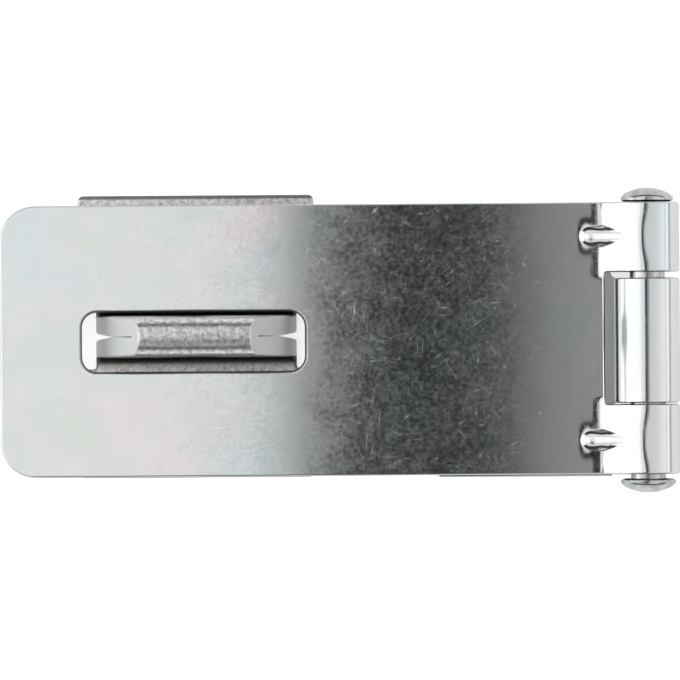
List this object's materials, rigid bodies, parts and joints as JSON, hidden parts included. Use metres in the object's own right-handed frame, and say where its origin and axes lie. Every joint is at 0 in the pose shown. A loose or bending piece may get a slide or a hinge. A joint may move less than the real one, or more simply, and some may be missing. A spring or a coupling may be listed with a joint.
{
  "type": "hasp",
  "caption": "Hinged steel hasp: a slotted strap with rolled knuckles swings on a riveted pin over a folded sheet staple with a padlock eye; the screws lie under the closed strap.",
  "frame": {"origin": "centre of the hinge leaf's screw pattern on the mounting plane", "axes": "+X towards the hinge pin, along the strap; +Y along the hinge pin; +Z away from the mounting plane"},
  "size_m": [0.0849, 0.0382, 0.0175],
  "materials": {
    "strap_steel": "smooth cold rolled sheet, bright zinc plated",
    "leaf_steel": "smooth cold rolled sheet, bright zinc plated",
    "pin_steel": "drawn round bar, riveted heads, bright zinc plated",
    "staple_steel": "hot rolled sheet, grainy under its zinc plating"
  },
  "bodies": {
    "base": {"fixed_leaf": "leaf_steel", "staple": "staple_steel"},
    "strap": {"hasp_strap": "strap_steel", "hinge_pin": "pin_steel"}
  },
  "joints": [
    {"name": "strap_hinge", "type": "hinge", "parent": "base", "child": "strap", "pos_m": [0.016, 0.0003, 0.00405], "axis": [0, 1, 0], "range_deg": [0, 180]}
  ]
}
